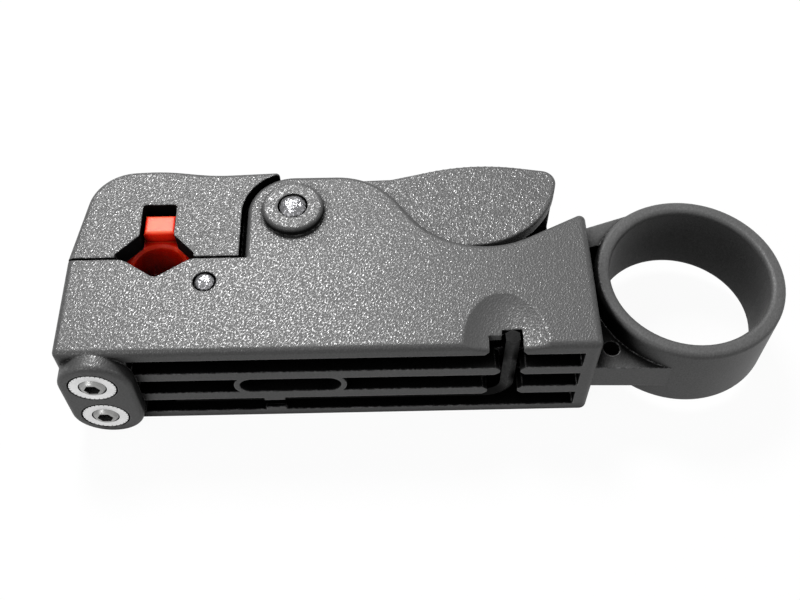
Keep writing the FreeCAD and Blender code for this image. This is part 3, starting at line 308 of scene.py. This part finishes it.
# Finishes by material slot; the lever has its own, because its grain is rougher than the body's.
LOOKS = {
    "body_plastic": moulded_nylon("charcoal_nylon", fleck=0.085, relief=0.31, sheen=0.46, spark=0.05),
    "lever": moulded_nylon("lever_nylon", fleck=0.095, relief=0.58, sheen=0.57, spark=0.25),
    "guide_plastic": guide_plastic(),
    "sleeve_plastic": sleeve_plastic(),
    "pin_steel": metal("pin_steel", (0.08, 0.08, 0.085), (0.34, 0.34, 0.35),
                       rough=0.22, scale=700.0, lift=0.6, strength=1.0),
    "spring_steel": metal("spring_wire", (0.22, 0.22, 0.23), (0.45, 0.45, 0.46),
                          rough=0.32, scale=2500.0, lift=0.03),
    # The long reach paints shade over the key where it lies in its channel.
    "key_steel": metal("black_oxide", grey(0.003), grey(0.01),
                       rough=0.42, scale=2200.0, lift=0.03, reach=8.0),
    "insert_metal": metal("bright_zinc", grey(0.58), grey(0.82),
                          rough=0.4, scale=1500.0, lift=0.05),
    "screw_metal": metal("screw_zinc", grey(0.14), (0.44, 0.44, 0.43),
                         rough=0.3, scale=1100.0, lift=0.12, strength=0.6),
    "tip_brass": metal("turned_brass", (0.5, 0.33, 0.1), (0.75, 0.55, 0.22),
                       rough=0.28, scale=3000.0, lift=0.03),
    "arm_metal": metal("cast_alloy", (0.34, 0.35, 0.36), (0.55, 0.56, 0.57),
                       rough=0.45, scale=1600.0, lift=0.06),
    "blade_steel": metal("ground_steel", (0.5, 0.51, 0.53), (0.78, 0.79, 0.8),
                         rough=0.2, scale=600.0, lift=0.02, stretch=(0.2, 5.0, 1.0)),
    "rivet_metal": metal("rivet_alloy", (0.5, 0.5, 0.51), (0.78, 0.78, 0.79),
                         rough=0.3, scale=1500.0, lift=0.04),
}
for part in frame["record"]["subparts"]:
    solid = frame["nodes"][part["node"]].data
    solid.materials.clear()
    solid.materials.append(LOOKS.get(part["node"], LOOKS[part["material_slot"]]))


def add_to_scene(made):
    bpy.context.scene.collection.objects.link(made)
    return made


def tube(name, path, radius, sides=14):
    """A closed round wire along a list of points."""
    verts = []
    across = Vector((0, 0, 1))
    for index, point in enumerate(path):
        ahead = path[min(index + 1, len(path) - 1)] - path[max(index - 1, 0)]
        ahead.normalize()
        across = (across - ahead * across.dot(ahead)).normalized()
        third = ahead.cross(across)
        for side in range(sides):
            turn = 2 * math.pi * side / sides
            verts.append(point + (across * math.cos(turn) + third * math.sin(turn)) * radius)
    faces = []
    for ring in range(len(path) - 1):
        for side in range(sides):
            here = ring * sides + side
            beside = ring * sides + (side + 1) % sides
            faces.append((here, beside, beside + sides, here + sides))
    last = (len(path) - 1) * sides
    faces.append(tuple(reversed(range(sides))))
    faces.append(tuple(range(last, last + sides)))
    mesh = bpy.data.meshes.new(name)
    mesh.from_pydata(verts, [], faces)
    mesh.validate()
    mesh.polygons.foreach_set("use_smooth", [True] * len(mesh.polygons))
    return add_to_scene(bpy.data.objects.new(name, mesh))


def torsion_spring():
    """The closing spring: one leg on the body, the coil round the pivot, one leg on the trigger."""
    pivot = next(j for j in frame["joints"] if j["name"] == "lever_pivot")["pos_m"]
    low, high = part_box("torsion_spring")
    wire = 0.5 * MM
    coil = 3.4 * MM
    turns = 5
    steps = 170
    low_z = low.z + wire
    high_z = high.z - wire
    begin = math.radians(-130)
    end = math.radians(100 - turns * 360)

    def on_coil(angle, height):
        return Vector((pivot[0] + math.cos(angle) * coil, pivot[1] + math.sin(angle) * coil, height))

    start = on_coil(begin, low_z)
    heading = Vector((-math.sin(begin), math.cos(begin), 0))
    leg = heading * ((low.y + wire - start.y) / heading.y)
    path = [start + leg * share for share in (1.0, 0.75, 0.5, 0.25)]
    for step in range(steps + 1):
        share = step / steps
        path.append(on_coil(begin + (end - begin) * share, low_z + (high_z - low_z) * share))
    leave = on_coil(end, high_z)
    heading = Vector((math.sin(end), -math.cos(end), 0))
    leg = heading * ((high.y - wire - leave.y) / heading.y)
    path += [leave + leg * share for share in (0.25, 0.5, 0.75, 1.0)]
    spring = tube("spring_wire", path, wire)
    spring.data.materials.append(LOOKS["spring_steel"])
    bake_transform(spring)
    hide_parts("torsion_spring")


torsion_spring()


def seen_rays(tree):
    """1 for rays from the camera and for what metal and glass show, 0 for light on the object."""
    path = node(tree, "LightPath")
    seen = path.outputs["Is Camera Ray"]
    for kind in ("Is Glossy Ray", "Is Transmission Ray"):
        seen = math_node(tree, "MAXIMUM", seen, path.outputs[kind])
    return seen


def floor():
    """A white floor that keeps a faint shadow and throws little light back."""
    half = 2.0
    height = -0.02 * MM
    shadow_share = 0.05
    mesh = bpy.data.meshes.new("floor")
    corners = [(-half, -half, height), (half, -half, height), (half, half, height), (-half, half, height)]
    mesh.from_pydata(corners, [], [(0, 1, 2, 3)])
    paper = bpy.data.materials.new("white_paper")
    paper.use_nodes = True
    tree = paper.node_tree
    tree.nodes.clear()
    out = node(tree, "OutputMaterial")
    lit = node(tree, "BsdfDiffuse")
    glow = node(tree, "Emission", Strength=1.0)
    both = node(tree, "MixShader")
    seen = times(tree, seen_rays(tree), 1.0 - shadow_share)
    join(tree, mix(tree, seen, grey(0.2), grey(0.8)), lit.inputs["Color"])
    join(tree, seen, both.inputs[0])
    join(tree, lit.outputs[0], both.inputs[1])
    join(tree, glow.outputs[0], both.inputs[2])
    join(tree, both.outputs[0], out.inputs["Surface"])
    mesh.materials.append(paper)
    add_to_scene(bpy.data.objects.new("floor", mesh))


floor()


def backdrop():
    """A soft dim sky, white where it is seen."""
    white = (1.0, 1.0, 1.0, 1.0)
    world = bpy.data.worlds.new("studio")
    bpy.context.scene.world = world
    world.use_nodes = True
    tree = world.node_tree
    tree.nodes.clear()
    out = node(tree, "OutputWorld")
    soft = node(tree, "Background", Color=white, Strength=0.16)
    shown = node(tree, "Background", Color=white, Strength=1.0)
    both = node(tree, "MixShader")
    join(tree, seen_rays(tree), both.inputs[0])
    join(tree, soft.outputs[0], both.inputs[1])
    join(tree, shown.outputs[0], both.inputs[2])
    join(tree, both.outputs[0], out.inputs["Surface"])


backdrop()


def softbox(name, place, width, power):
    """A square lamp that points at the middle of the tool."""
    aim = Vector((0, 0, 10 * MM))
    lamp = bpy.data.lights.new(name, "AREA")
    lamp.shape = "SQUARE"
    lamp.size = width
    lamp.energy = power
    made = add_to_scene(bpy.data.objects.new(name, lamp))
    made.location = place
    made.rotation_euler = (aim - Vector(place)).to_track_quat("-Z", "Y").to_euler()


softbox("key_light", (-0.09, 0.275, 0.44), width=0.14, power=3.6)
softbox("front_light", (-0.25, -0.3, 0.3), width=0.3, power=0.95)
softbox("side_light", (0.42, -0.05, 0.24), width=0.22, power=0.5)


def camera():
    """The photograph's viewpoint: a near-level pan, looking down at the tool."""
    turn = math.radians(1.415)
    down = math.radians(56.33)
    roll = math.radians(0.1)
    place = Vector((-6.44, -92.37, 145.29)) * MM
    ahead = Vector((math.sin(turn) * math.cos(down), math.cos(turn) * math.cos(down), -math.sin(down)))
    right = Vector((math.cos(turn), -math.sin(turn), 0))
    above = right.cross(ahead)
    tilted_right = right * math.cos(roll) + above * math.sin(roll)
    tilted_above = above * math.cos(roll) - right * math.sin(roll)
    lens = bpy.data.cameras.new("view")
    lens.sensor_width = 36.0
    lens.lens = 48.28
    lens.clip_start = 5 * MM
    made = add_to_scene(bpy.data.objects.new("view", lens))
    axes = Matrix((tilted_right, tilted_above, -ahead)).transposed().to_4x4()
    made.matrix_world = Matrix.Translation(place) @ axes
    bpy.context.scene.camera = made


camera()
bpy.context.scene.view_settings.view_transform = "Standard"
